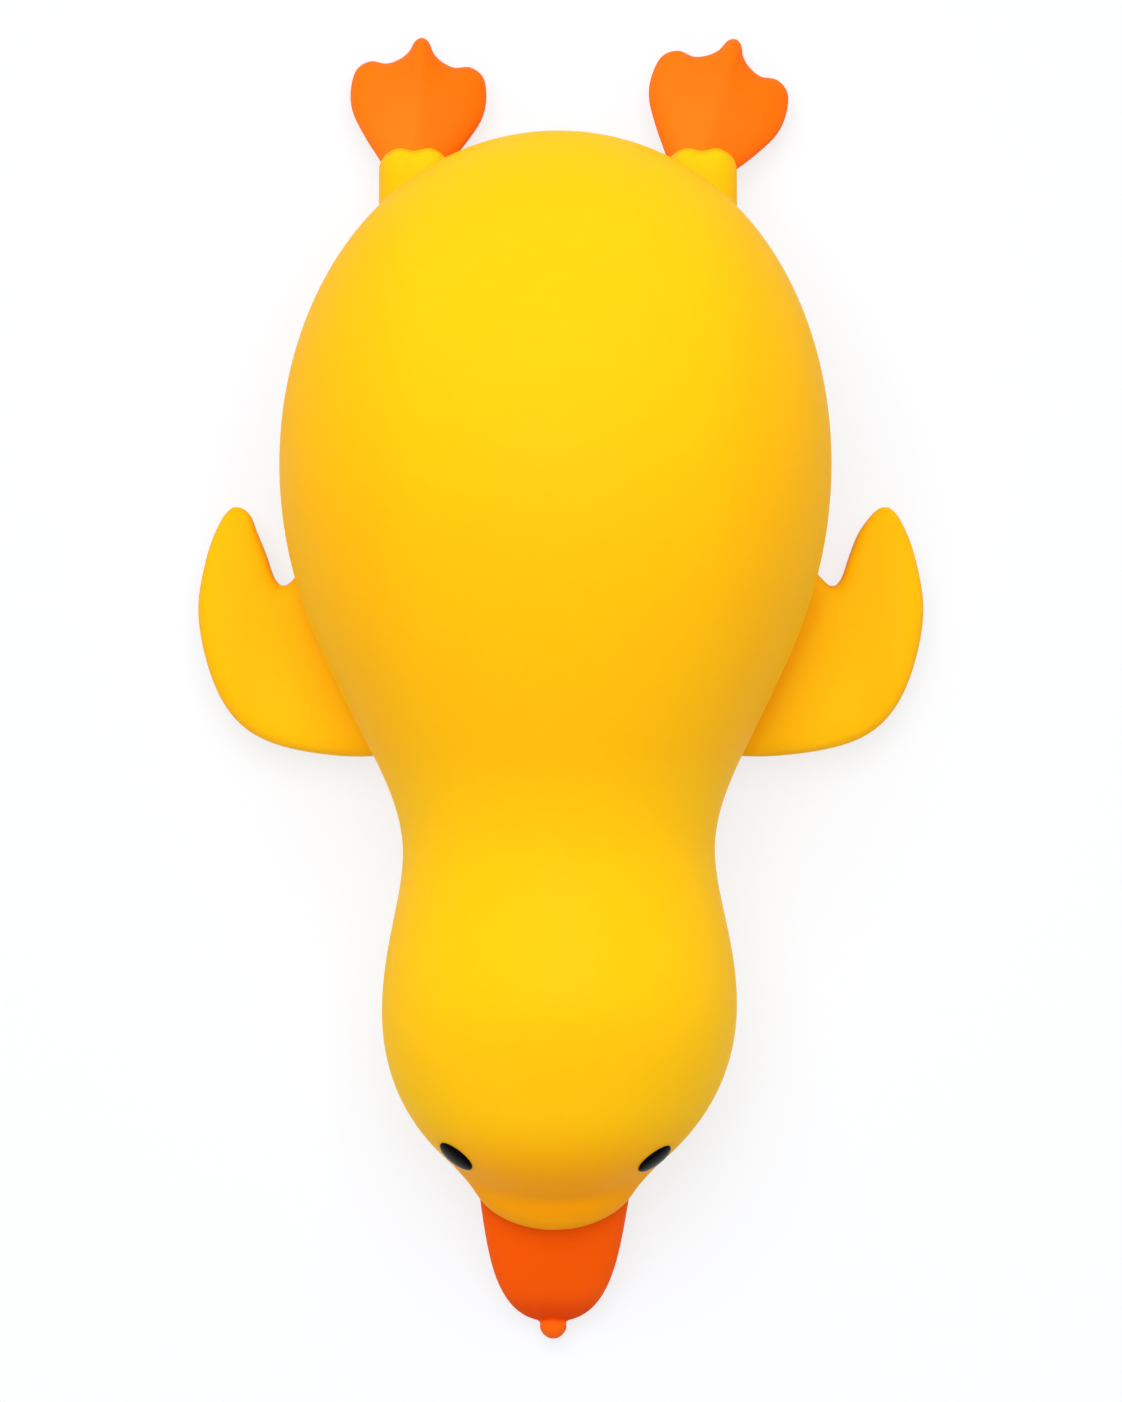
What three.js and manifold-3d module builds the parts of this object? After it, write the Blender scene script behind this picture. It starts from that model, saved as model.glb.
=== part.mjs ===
// A soft squishy duck that lies flat on its belly, with its wings spread and its feet out behind.
// Millimetres. +Z is up, +Y points to the tail and -Y to the beak. The belly lies on z = 0.
import * as THREE from 'three';
import { LoftGeometry } from 'three/addons/geometries/LoftGeometry.js';
import { mergeVertices } from 'three/addons/utils/BufferGeometryUtils.js';
import Module from 'manifold-3d';

const wasm = await Module();
wasm.setup();

// Room left round each insert that is bonded in the yellow moulding.
const CLEARANCE = 0.3;

// Main form: places along Y, half widths, and heights of the back and of the widest line.
const RUMP_Y = 67.5;
const RUMP_WAIST = 22;
const RUMP_END_RADIUS_PLAN = 29.8;
const RUMP_END_RADIUS_SIDE = 20;
const TORSO_Y = 28;
const TORSO_HALF_WIDTH = 33.35;
const TORSO_HEIGHT = 56;
const TORSO_WAIST = 24;
const LOIN_Y = 48;
const LOIN_HALF_WIDTH = 28.8;
const LOIN_HEIGHT = 48.5;
const SHOULDER_Y = 8;
const SHOULDER_HALF_WIDTH = 29.9;
const SHOULDER_HEIGHT = 52.2;
const CHEST_Y = -6.5;
const CHEST_HALF_WIDTH = 23.2;
const CHEST_HEIGHT = 44.4;
const NECK_Y = -18.8;
const NECK_HALF_WIDTH = 19;
const NECK_HEIGHT = 38;
const NECK_WAIST = 17;
const NAPE_Y = -28.5;
const NAPE_HALF_WIDTH = 20.3;
const NAPE_HEIGHT = 38.2;
const HEAD_Y = -38.9;
const HEAD_HALF_WIDTH = 21.6;
const HEAD_HEIGHT = 39.7;
const HEAD_WAIST = 16.5;
const BROW_Y = -50.5;
const BROW_HALF_WIDTH = 18.75;
const BROW_HEIGHT = 34.6;
const FACE_Y = -62.5;
const FACE_WAIST = 14.5;
const FACE_END_RADIUS_PLAN = 18.5;
const FACE_END_RADIUS_SIDE = 20;
const FACE_END_RADIUS_CHIN = 11.5;

// The underside would sag this far below the surface it lies on, and is pressed flat instead.
const BELLY_SAG = 4;
const BELLY_EDGE_RADIUS = 1.6;
const BACK_ROUNDNESS = 2.1;
const BELLY_ROUNDNESS = 2.5;

// Snout: the raised ring of skin that the beak comes out of.
const SNOUT_Y = -58.5;
const SNOUT_LENGTH = 7.5;
const SNOUT_HALF_WIDTH = 10.5;
const SNOUT_RISE = 6.3;
const SNOUT_DROP = 9;
const SNOUT_CREASE = 2.2;

// Beak, with the small nail on its tip.
const BEAK_ROOT_Y = -59;
const BEAK_TIP_Y = -77.9;
const BEAK_ROOT_HEIGHT = 13.3;
const BEAK_TIP_HEIGHT = 3.1;
const BEAK_ARCH = 0.7;
const BEAK_ROOT_HALF_WIDTH = 9.6;
const BEAK_TIP_HALF_WIDTH = 6.75;
const BEAK_HALF_THICKNESS = 3;
const BEAK_TIP_HALF_THICKNESS = 2.1;
const NAIL_HALF_WIDTH = 1.95;
const NAIL_LENGTH = 1.75;
const NAIL_HALF_HEIGHT = 1.7;
const NAIL_TAPER = 0.18;
const NAIL_Y = BEAK_TIP_Y - 0.4;

// Eyes: domed ovals, each on a plug in the skin.
const EYE_Y = -56.3;
const EYE_LIFT = 33 * Math.PI / 180;
const EYE_RADIUS = 2.4;
const EYE_DOME = 0.55;
const EYE_RIM_DEPTH = 0.5;
const EYE_PLUG_RADIUS = 1.5;
const EYE_PLUG_TOP = 0.9;
const EYE_PLUG_DEPTH = 2.4;

// Wings: how far they reach, and the plump plate they are made of.
const WING_REACH_LEFT = 44.2;
const WING_REACH_RIGHT = 44.9;
const WING_FRONT_Y = -8.3;
const WING_TIP_Y = 22.6;
const WING_NOTCH_Y = 12.5;
const WING_NOTCH_X = 33.8;
const WING_THICKNESS = 8.6;
const WING_TIP_THICKNESS = 4.6;
const WING_ROOT_HEIGHT = 5.4;
const WING_TIP_HEIGHT = 4.2;
const WING_WEB_END = [WING_NOTCH_X - 12, WING_NOTCH_Y + 12.5];
// Share of the wing's stations that lie between the web's inner end and the notch.
const WING_WEB_SHARE = 0.4;

// Legs: short stubs from under the rump, each ending in a cuff of two lobes.
const LEG_SPACING = 35.2;
const LEG_HALF_WIDTH = 4.35;
const LEG_HALF_HEIGHT = 6;
const LEG_HEIGHT = 7;
const LEG_ROOT_Y = RUMP_Y - 21.5;
const CUFF_Y = RUMP_Y - 2.2;
const CUFF_ROUNDING = 2;
const CUFF_DOME = 0.2;
const LOBE_DEPTH = 0.55;
const LOBE_VALLEY_DEPTH = 0.9;
const LOBE_VALLEY_WIDTH = 0.22;

// Feet: webbed plates with three toes, bonded in the cuffs.
const FOOT_Y = RUMP_Y - 1.9;
const FOOT_LENGTH = 14.5;
const FOOT_HALF_WIDTH = 8.35;
const FOOT_HEEL = 4.6;
const FOOT_HALF_THICKNESS = 2.9;
const FOOT_HEEL_HEIGHT = 6.4;
const FOOT_TOE_HEIGHT = 3.1;
const FOOT_WAIST_Y = 5.5;
const TOE_RIDGE = 0.4;
const TOE_SPREAD = 0.62;
const TOE_RIDGE_WIDTH = 0.25;
const FOOT_TURN_LEFT = -3.5 * Math.PI / 180;
const FOOT_TURN_RIGHT = -16.5 * Math.PI / 180;
const FOOT_SIZE_LEFT = 1;
const FOOT_SIZE_RIGHT = 1.03;

// The middle line of body and beak strays a little to the sides: places along Y and the stray there.
const STRAY = [
  [BEAK_TIP_Y, -0.58],
  [SNOUT_Y, -0.35],
  [HEAD_Y, 0.18],
  [NECK_Y, 0.1],
  [TORSO_Y, -0.3],
  [RUMP_Y, 0.05],
];

// How finely the surfaces are divided.
const MAIN_STATIONS = 44;
const MAIN_SIDES = 44;
const WING_STATIONS = 18;
const WING_SIDES = 16;
const LEG_SIDES = 20;
const FOOT_POINTS = 40;
const FOOT_RINGS = 10;
const BEAK_STATIONS = 15;
const BEAK_SIDES = 24;
const EYE_SIDES = 18;

// A natural cubic spline of values against rising places, as a function of the place.
function smoothThrough(places, values) {
  const last = places.length - 1;
  const step = places.slice(1).map((p, i) => p - places[i]);
  const slope = values.slice(1).map((v, i) => (v - values[i]) / step[i]);
  const bend = new Array(last + 1).fill(0);
  const diagonal = [1];
  const right = [0];
  for (let i = 1; i < last; i++) {
    const share = i === 1 ? 0 : step[i - 1] / diagonal[i - 1];
    diagonal[i] = 2 * (step[i - 1] + step[i]) - share * (i === 1 ? 0 : step[i - 1]);
    right[i] = 6 * (slope[i] - slope[i - 1]) - share * right[i - 1];
  }
  for (let i = last - 1; i > 0; i--) {
    bend[i] = (right[i] - step[i] * bend[i + 1]) / diagonal[i];
  }
  return (place) => {
    let i = 0;
    while (i < last - 1 && place > places[i + 1]) i++;
    const a = (places[i + 1] - place) / step[i];
    const b = 1 - a;
    const sag = ((a ** 3 - a) * bend[i] + (b ** 3 - b) * bend[i + 1]) * step[i] ** 2 / 6;
    return a * values[i] + b * values[i + 1] + sag;
  };
}

// The larger of two values, rounded over where they come within a radius of each other.
function softMax(a, b, radius) {
  if (radius <= 0) return Math.max(a, b);
  const near = Math.max(radius - Math.abs(a - b), 0) / radius;
  return Math.max(a, b) + near * near * radius / 4;
}

// Distance from the centre to a rounded section at an angle from its +X side.
function sectionRadius(angle, halfWidth, rise, drop) {
  const up = Math.sin(angle) >= 0;
  const power = up ? BACK_ROUNDNESS : BELLY_ROUNDNESS;
  const across = Math.abs(Math.cos(angle)) / halfWidth;
  const along = Math.abs(Math.sin(angle)) / (up ? rise : drop);
  return (across ** power + along ** power) ** (-1 / power);
}

const strayAt = smoothThrough(STRAY.map(([y]) => y), STRAY.map(([, x]) => x));

// One closed solid from geometry whose shared corners are merged.
function solidOf(geometry) {
  const plain = new THREE.BufferGeometry();
  plain.setAttribute('position', geometry.getAttribute('position'));
  plain.setIndex(geometry.index);
  const merged = mergeVertices(plain, 1e-3);
  return new wasm.Manifold(new wasm.Mesh({
    numProp: 3,
    vertProperties: new Float32Array(merged.getAttribute('position').array),
    triVerts: new Uint32Array(merged.index.array),
  }));
}

// The named mesh of a solid, in its own material.
function meshOf(name, solid, material) {
  const made = solid.getMesh();
  const geometry = new THREE.BufferGeometry();
  geometry.setAttribute('position', new THREE.BufferAttribute(new Float32Array(made.vertProperties), 3));
  geometry.setIndex(new THREE.BufferAttribute(new Uint32Array(made.triVerts), 1));
  geometry.computeVertexNormals();
  const mesh = new THREE.Mesh(geometry, material);
  mesh.name = name;
  return mesh;
}

function yellowSkin() {
  return new THREE.MeshStandardMaterial({ color: 0xfdd01f, roughness: 0.5, metalness: 0 });
}

function orangeSkin() {
  return new THREE.MeshStandardMaterial({ color: 0xfc7a14, roughness: 0.45, metalness: 0 });
}

function blackGloss() {
  return new THREE.MeshStandardMaterial({ color: 0x0b0a0a, roughness: 0.15, metalness: 0 });
}

// The main form from rump to face. Each curve is the spline of a size over the round end
// function, so the sizes hold at the stations and both ends close in a full round.
function mainForm() {
  const middle = (RUMP_Y + FACE_Y) / 2;
  const half = (RUMP_Y - FACE_Y) / 2;
  const round = (y) => Math.sqrt(Math.max(0, 1 - ((y - middle) / half) ** 2));
  const waist = smoothThrough(
    [FACE_Y, HEAD_Y, NECK_Y, TORSO_Y, RUMP_Y],
    [FACE_WAIST, HEAD_WAIST, NECK_WAIST, TORSO_WAIST, RUMP_WAIST],
  );
  const stations = [
    { y: BROW_Y, halfWidth: BROW_HALF_WIDTH, height: BROW_HEIGHT },
    { y: HEAD_Y, halfWidth: HEAD_HALF_WIDTH, height: HEAD_HEIGHT },
    { y: NAPE_Y, halfWidth: NAPE_HALF_WIDTH, height: NAPE_HEIGHT },
    { y: NECK_Y, halfWidth: NECK_HALF_WIDTH, height: NECK_HEIGHT },
    { y: CHEST_Y, halfWidth: CHEST_HALF_WIDTH, height: CHEST_HEIGHT },
    { y: SHOULDER_Y, halfWidth: SHOULDER_HALF_WIDTH, height: SHOULDER_HEIGHT },
    { y: TORSO_Y, halfWidth: TORSO_HALF_WIDTH, height: TORSO_HEIGHT },
    { y: LOIN_Y, halfWidth: LOIN_HALF_WIDTH, height: LOIN_HEIGHT },
  ];
  const places = [FACE_Y, ...stations.map((s) => s.y), RUMP_Y];
  const endFullness = (radius) => Math.sqrt(radius * half);
  const widthFullness = smoothThrough(places, [
    endFullness(FACE_END_RADIUS_PLAN),
    ...stations.map((s) => s.halfWidth / round(s.y)),
    endFullness(RUMP_END_RADIUS_PLAN),
  ]);
  const riseFullness = smoothThrough(places, [
    endFullness(FACE_END_RADIUS_SIDE),
    ...stations.map((s) => (s.height - waist(s.y)) / round(s.y)),
    endFullness(RUMP_END_RADIUS_SIDE),
  ]);
  const dropFullness = smoothThrough(
    [FACE_Y, HEAD_Y, NECK_Y, TORSO_Y, RUMP_Y],
    [
      endFullness(FACE_END_RADIUS_CHIN),
      (HEAD_WAIST + BELLY_SAG) / round(HEAD_Y),
      (NECK_WAIST + BELLY_SAG) / round(NECK_Y),
      (TORSO_WAIST + BELLY_SAG) / round(TORSO_Y),
      endFullness(RUMP_END_RADIUS_SIDE),
    ],
  );

  // A point of the skin at a place along Y and an angle round the section.
  function point(y, angle) {
    const e = round(y);
    let radius = 0;
    if (e > 0) {
      radius = e * sectionRadius(angle, widthFullness(y), riseFullness(y), dropFullness(y));
    }
    const s = Math.sqrt(Math.max(0, 1 - ((y - SNOUT_Y) / SNOUT_LENGTH) ** 2));
    let snout = 0;
    if (s > 0) {
      snout = s * sectionRadius(angle, SNOUT_HALF_WIDTH, SNOUT_RISE, SNOUT_DROP);
    }
    const full = softMax(radius, snout, Math.min(SNOUT_CREASE, radius, snout));
    const z = waist(Math.max(y, FACE_Y)) + full * Math.sin(angle);
    const x = strayAt(y) + full * Math.cos(angle);
    return new THREE.Vector3(x, y, softMax(z, 0, BELLY_EDGE_RADIUS));
  }
  return { point, front: SNOUT_Y - SNOUT_LENGTH, back: RUMP_Y };
}

// The torso, head and snout in one loft.
function mainSolid(form) {
  const sections = [];
  const middle = (form.back + form.front) / 2;
  const half = (form.back - form.front) / 2;
  for (let i = 1; i < MAIN_STATIONS; i++) {
    const y = middle + half * Math.cos(Math.PI * i / MAIN_STATIONS);
    const ring = [];
    for (let j = 0; j < MAIN_SIDES; j++) {
      ring.push(form.point(y, 2 * Math.PI * j / MAIN_SIDES));
    }
    sections.push(ring);
  }
  return solidOf(new LoftGeometry(sections, { capStart: true, capEnd: true }));
}

// A smooth plan curve through points.
function planCurve(points) {
  const corners = points.map(([x, y]) => new THREE.Vector3(x, y, 0));
  return new THREE.CatmullRomCurve3(corners, false, 'centripetal');
}

// The outer edge of a wing, from inside the body round to the tip.
function wingOuterEdge(reach) {
  return planCurve([
    [14, WING_FRONT_Y + 0.6],
    [26.5, WING_FRONT_Y],
    [reach - 8.6, WING_FRONT_Y + 1.8],
    [reach - 4.7, WING_FRONT_Y + 4.4],
    [reach - 1.9, WING_FRONT_Y + 9],
    [reach, WING_FRONT_Y + 17.7],
    [reach - 1.2, WING_TIP_Y - 5.8],
    [reach - 2.3, WING_TIP_Y - 2.9],
    [reach - 3.3, WING_TIP_Y - 1.1],
    [reach - 4.3, WING_TIP_Y - 0.2],
  ]);
}

// The inner edge of a wing, from the notch beside the body to the tip.
function wingInnerEdge(reach) {
  return planCurve([
    [WING_NOTCH_X, WING_NOTCH_Y],
    [WING_NOTCH_X + 1, WING_NOTCH_Y + 1.4],
    [WING_NOTCH_X + 2, WING_NOTCH_Y + 4.3],
    [WING_NOTCH_X + 3.2, WING_NOTCH_Y + 7.2],
    [reach - 6.4, WING_TIP_Y - 1.3],
    [reach - 5.5, WING_TIP_Y - 0.4],
  ]);
}

// A wing as a loft of plump sections, each spanning from the inner to the outer edge.
function wingSolid(side) {
  const reach = side > 0 ? WING_REACH_RIGHT : WING_REACH_LEFT;
  const outer = wingOuterEdge(reach);
  const web = planCurve([WING_WEB_END, [WING_NOTCH_X, WING_NOTCH_Y]]);
  const inner = wingInnerEdge(reach);
  const sections = [];
  const notch = Math.round(WING_STATIONS * WING_WEB_SHARE);
  for (let i = 0; i <= WING_STATIONS; i++) {
    const beyond = (i - notch) / (WING_STATIONS - notch);
    const a = i <= notch ? web.getPoint(i / notch) : inner.getPointAt(beyond);
    const t = i / WING_STATIONS;
    const b = outer.getPointAt(t);
    const thickness = WING_THICKNESS + (WING_TIP_THICKNESS - WING_THICKNESS) * t * t;
    const height = WING_ROOT_HEIGHT + (WING_TIP_HEIGHT - WING_ROOT_HEIGHT) * t;
    const fade = Math.sqrt(1 - t ** 8 * 0.8);
    const ring = [];
    for (let j = 0; j < WING_SIDES; j++) {
      const angle = 2 * Math.PI * j / WING_SIDES;
      const across = (1 - Math.sign(Math.cos(angle)) * Math.abs(Math.cos(angle)) ** 0.9) / 2;
      const up = Math.sign(Math.sin(angle)) * Math.abs(Math.sin(angle)) ** 0.8;
      const p = new THREE.Vector3().lerpVectors(b, a, across);
      ring.push(new THREE.Vector3(side * p.x, p.y, height + thickness / 2 * fade * up));
    }
    sections.push(side > 0 ? ring.reverse() : ring);
  }
  return solidOf(new LoftGeometry(sections, { capStart: true, capEnd: true }));
}

// A leg stub with its double-lobed cuff.
function legSolid(side) {
  const sections = [];
  const middle = side * LEG_SPACING / 2;
  const straight = CUFF_Y - CUFF_ROUNDING - LEG_ROOT_Y;
  const places = [0, 0.5, 0.75, 0.9].map((s) => ({ y: LEG_ROOT_Y + straight * s, inset: 0, scale: 1 }));
  for (let i = 0; i <= 4; i++) {
    const a = Math.PI / 2 * i / 4;
    places.push({
      y: CUFF_Y - CUFF_ROUNDING + CUFF_ROUNDING * Math.sin(a),
      inset: CUFF_ROUNDING * (1 - Math.cos(a)),
      scale: 1,
    });
  }
  places.push({ y: CUFF_Y + CUFF_DOME, inset: CUFF_ROUNDING, scale: 0.6 });
  places.push({ y: CUFF_Y + 2 * CUFF_DOME, inset: CUFF_ROUNDING, scale: 0.25 });
  for (const place of places) {
    const ring = [];
    const along = (place.y - LEG_ROOT_Y) / (CUFF_Y - LEG_ROOT_Y);
    for (let j = 0; j < LEG_SIDES; j++) {
      const angle = 2 * Math.PI * j / LEG_SIDES;
      const c = Math.sign(Math.cos(angle)) * Math.abs(Math.cos(angle)) ** 0.85;
      const s = Math.sign(Math.sin(angle)) * Math.abs(Math.sin(angle)) ** 0.85;
      const valley = LOBE_VALLEY_DEPTH * Math.exp(-((c / LOBE_VALLEY_WIDTH) ** 2)) * along ** 6;
      const x = (LEG_HALF_WIDTH - place.inset) * place.scale * c;
      const z = (LEG_HALF_HEIGHT - place.inset - valley) * place.scale * s;
      const lobe = LOBE_DEPTH * Math.sin(Math.PI * Math.abs(x) / LEG_HALF_WIDTH) * along ** 8;
      ring.push(new THREE.Vector3(middle + x, place.y + lobe, LEG_HEIGHT + z));
    }
    sections.push(ring.reverse());
  }
  return solidOf(new LoftGeometry(sections, { capStart: true, capEnd: true }));
}

// The plan outline of a foot, from its heel at -Y to the middle toe at +Y.
function footOutline(size, grow) {
  const wide = FOOT_HALF_WIDTH;
  const long = FOOT_LENGTH;
  const half = [
    [0, long],
    [0.09 * wide, long - 0.35],
    [0.19 * wide, long - 1.9],
    [0.33 * wide, long - 2.9],
    [0.5 * wide, long - 3.45],
    [0.74 * wide, long - 3.3],
    [0.93 * wide, long - 4.4],
    [wide, long - 7],
    [0.955 * wide, long - 9.6],
    [0.74 * wide, long - 12.8],
    [0.5 * wide, long - 15.6],
    [0.3 * wide, -FOOT_HEEL + 0.9],
    [0, -FOOT_HEEL],
  ];
  const points = half.map(([x, y]) => new THREE.Vector3(x * size, y * size, 0));
  const back = points.slice(1, -1).reverse().map((p) => new THREE.Vector3(-p.x, p.y, 0));
  const curve = new THREE.CatmullRomCurve3([...points, ...back], true, 'centripetal');
  const ring = curve.getSpacedPoints(FOOT_POINTS).slice(0, FOOT_POINTS);
  return ring.map((p, i) => {
    const t = curve.getTangentAt(i / FOOT_POINTS);
    return new THREE.Vector3(p.x - t.y * grow, p.y + t.x * grow, 0);
  });
}

// A foot, or with grow above zero the room that it takes up in the cuff.
function footSolid(side, grow) {
  const turn = side > 0 ? FOOT_TURN_RIGHT : FOOT_TURN_LEFT;
  const size = side > 0 ? FOOT_SIZE_RIGHT : FOOT_SIZE_LEFT;
  const outline = footOutline(size, grow);
  const centre = new THREE.Vector3(0, FOOT_WAIST_Y, 0);
  const sections = [];
  for (let i = 1; i < FOOT_RINGS; i++) {
    const a = -Math.PI / 2 + Math.PI * i / FOOT_RINGS;
    const ring = outline.map((rim) => {
      const p = new THREE.Vector3().lerpVectors(centre, rim, Math.cos(a) ** 0.75);
      const share = THREE.MathUtils.clamp((p.y + FOOT_HEEL) / (FOOT_LENGTH + FOOT_HEEL), 0, 1);
      const middle = FOOT_HEEL_HEIGHT + (FOOT_TOE_HEIGHT - FOOT_HEEL_HEIGHT) * share;
      const bearing = Math.atan2(p.x, p.y + FOOT_HEEL);
      const toes = [-TOE_SPREAD, 0, TOE_SPREAD];
      const ridge = toes.reduce((sum, toe) => sum + Math.exp(-(((bearing - toe) / TOE_RIDGE_WIDTH) ** 2)), 0);
      const lift = Math.sin(a) > 0 ? TOE_RIDGE * ridge * share * Math.cos(a) : 0;
      const z = middle + (FOOT_HALF_THICKNESS + grow + lift) * Math.sin(a);
      return new THREE.Vector3(p.x, p.y, z);
    });
    sections.push(ring.reverse());
  }
  const geometry = new LoftGeometry(sections, { capStart: true, capEnd: true });
  geometry.rotateZ(turn);
  geometry.translate(side * LEG_SPACING / 2, FOOT_Y, 0);
  return solidOf(geometry);
}

// The beak's blade and nail, or with grow above zero the room that the blade takes up in the snout.
function beakSolid(grow) {
  const sections = [];
  const length = BEAK_ROOT_Y - BEAK_TIP_Y;
  for (let i = 0; i < BEAK_STATIONS; i++) {
    const t = Math.sin(Math.PI / 2 * i / BEAK_STATIONS);
    const y = BEAK_ROOT_Y + (i === 0 ? grow : 0) - length * t;
    const end = (1 - t ** 4.2) ** (1 / 2.5);
    const halfWidth = (BEAK_ROOT_HALF_WIDTH + (BEAK_TIP_HALF_WIDTH - BEAK_ROOT_HALF_WIDTH) * t) * end + grow;
    const thick = BEAK_HALF_THICKNESS + (BEAK_TIP_HALF_THICKNESS - BEAK_HALF_THICKNESS) * t;
    const halfHeight = thick * Math.sqrt(1 - t ** 8) + grow;
    const arch = BEAK_ARCH * Math.sin(Math.PI * t);
    const height = BEAK_ROOT_HEIGHT + (BEAK_TIP_HEIGHT - BEAK_ROOT_HEIGHT) * t + arch;
    const ring = [];
    for (let j = 0; j < BEAK_SIDES; j++) {
      const angle = 2 * Math.PI * j / BEAK_SIDES;
      const across = Math.sign(Math.cos(angle)) * Math.abs(Math.cos(angle)) ** 0.85;
      const up = Math.sign(Math.sin(angle)) * Math.abs(Math.sin(angle)) ** 0.9;
      ring.push(new THREE.Vector3(strayAt(y) + halfWidth * across, y, height + halfHeight * up));
    }
    sections.push(ring);
  }
  const blade = solidOf(new LoftGeometry(sections, { capStart: true, capEnd: true }));
  if (grow > 0) return blade;
  return blade.add(nailSolid());
}

// The nail: a small rounded bulb that narrows away from the beak.
function nailSolid() {
  const nail = new THREE.SphereGeometry(1, 16, 10);
  const corners = nail.getAttribute('position');
  for (let i = 0; i < corners.count; i++) {
    const narrowing = 1 + NAIL_TAPER * corners.getY(i);
    corners.setX(i, corners.getX(i) * narrowing);
    corners.setZ(i, corners.getZ(i) * narrowing);
  }
  nail.scale(NAIL_HALF_WIDTH, NAIL_LENGTH, NAIL_HALF_HEIGHT);
  nail.translate(strayAt(NAIL_Y), NAIL_Y, BEAK_TIP_HEIGHT);
  return solidOf(nail);
}

// An eye's dome and plug turned about its own axis, or the room that they take up in the skin.
function eyeSolid(form, side, grow) {
  const angle = side > 0 ? EYE_LIFT : Math.PI - EYE_LIFT;
  const seat = form.point(EYE_Y, angle);
  const along = form.point(EYE_Y + 0.5, angle).sub(form.point(EYE_Y - 0.5, angle));
  const around = form.point(EYE_Y, angle + 0.02).sub(form.point(EYE_Y, angle - 0.02));
  const outward = new THREE.Vector3().crossVectors(along, around).normalize();
  const profile = [
    new THREE.Vector2(0, -EYE_PLUG_DEPTH - grow),
    new THREE.Vector2(EYE_PLUG_RADIUS + grow, -EYE_PLUG_DEPTH - grow),
    new THREE.Vector2(EYE_PLUG_RADIUS + grow, -EYE_PLUG_TOP - grow),
    new THREE.Vector2(EYE_RADIUS + grow, -EYE_RIM_DEPTH - grow),
  ];
  for (let i = 0; i <= 5; i++) {
    const a = Math.PI / 2 * i / 5;
    profile.push(new THREE.Vector2((EYE_RADIUS + grow) * Math.cos(a), (EYE_DOME + grow) * Math.sin(a)));
  }
  profile[profile.length - 1].x = 0;
  const geometry = new THREE.LatheGeometry(profile, EYE_SIDES);
  const turn = new THREE.Quaternion().setFromUnitVectors(new THREE.Vector3(0, 1, 0), outward);
  geometry.applyQuaternion(turn);
  geometry.translate(seat.x, seat.y, seat.z);
  return solidOf(geometry);
}

// The yellow moulding, with a socket for each insert.
function bodySolid(form) {
  let solid = mainSolid(form);
  for (const side of [-1, 1]) {
    solid = solid.add(wingSolid(side));
    solid = solid.add(legSolid(side));
  }
  solid = solid.subtract(beakSolid(CLEARANCE));
  solid = solid.subtract(footSolid(-1, CLEARANCE));
  solid = solid.subtract(footSolid(1, CLEARANCE));
  for (const side of [-1, 1]) {
    solid = solid.subtract(eyeSolid(form, side, CLEARANCE));
  }
  return solid;
}

// The whole duck, placed with its origin on the surface below the middle of its length and span.
function buildDuck() {
  const form = mainForm();
  const duck = new THREE.Group();
  duck.add(meshOf('body', bodySolid(form), yellowSkin()));
  duck.add(meshOf('beak', beakSolid(0), orangeSkin()));
  duck.add(meshOf('foot_left', footSolid(-1, 0), orangeSkin()));
  duck.add(meshOf('foot_right', footSolid(1, 0), orangeSkin()));
  duck.add(meshOf('eye_left', eyeSolid(form, -1, 0), blackGloss()));
  duck.add(meshOf('eye_right', eyeSolid(form, 1, 0), blackGloss()));
  const box = new THREE.Box3().setFromObject(duck);
  const centre = box.getCenter(new THREE.Vector3());
  duck.position.set(-centre.x, -centre.y, -box.min.z);
  return duck;
}

const group = new THREE.Group();
group.add(buildDuck());

export default group;
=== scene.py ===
"""A soft squishy duck that lies flat on its belly, seen from straight above."""
import logging
import math
from collections.abc import Sequence
from dataclasses import dataclass, field, replace
from enum import Enum
from functools import cached_property

import bpy
import numpy as np
from bpy.types import Material, Node, NodeOutputs, NodeSocket, NodeTree, Object
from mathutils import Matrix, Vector


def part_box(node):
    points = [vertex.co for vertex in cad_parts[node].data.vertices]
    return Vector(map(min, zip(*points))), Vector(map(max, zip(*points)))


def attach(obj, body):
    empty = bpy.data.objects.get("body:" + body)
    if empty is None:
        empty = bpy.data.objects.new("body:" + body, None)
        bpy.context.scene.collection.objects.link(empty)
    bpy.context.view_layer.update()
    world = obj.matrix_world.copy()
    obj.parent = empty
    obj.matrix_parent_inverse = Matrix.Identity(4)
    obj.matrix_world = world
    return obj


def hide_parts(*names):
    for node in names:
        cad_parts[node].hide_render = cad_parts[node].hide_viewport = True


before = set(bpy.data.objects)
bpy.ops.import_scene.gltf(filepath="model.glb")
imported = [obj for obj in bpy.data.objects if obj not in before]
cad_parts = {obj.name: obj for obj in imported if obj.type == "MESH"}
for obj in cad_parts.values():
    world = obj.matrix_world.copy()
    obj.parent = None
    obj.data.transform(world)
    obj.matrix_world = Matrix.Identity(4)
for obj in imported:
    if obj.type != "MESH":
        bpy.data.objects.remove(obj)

MM = 0.001
TINY = 1e-9
LOG = logging.getLogger("duck")
Array = np.ndarray
Pair = tuple[float, float]
Triple = tuple[float, float, float]
Colour = tuple[float, float, float, float]
Inputs = dict[str | int, object]


class Side(Enum):
    """The duck's two sides, as the sign of X on each."""

    LEFT = -1
    RIGHT = 1

    @property
    def word(self) -> str:
        """The word used for this side in the names of pieces."""
        return self.name.lower()


# Finishes.

SRGB_KNEE = 0.04045
SRGB_SLOPE = 12.92
SRGB_OFFSET = 0.055
SRGB_POWER = 2.4


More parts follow.
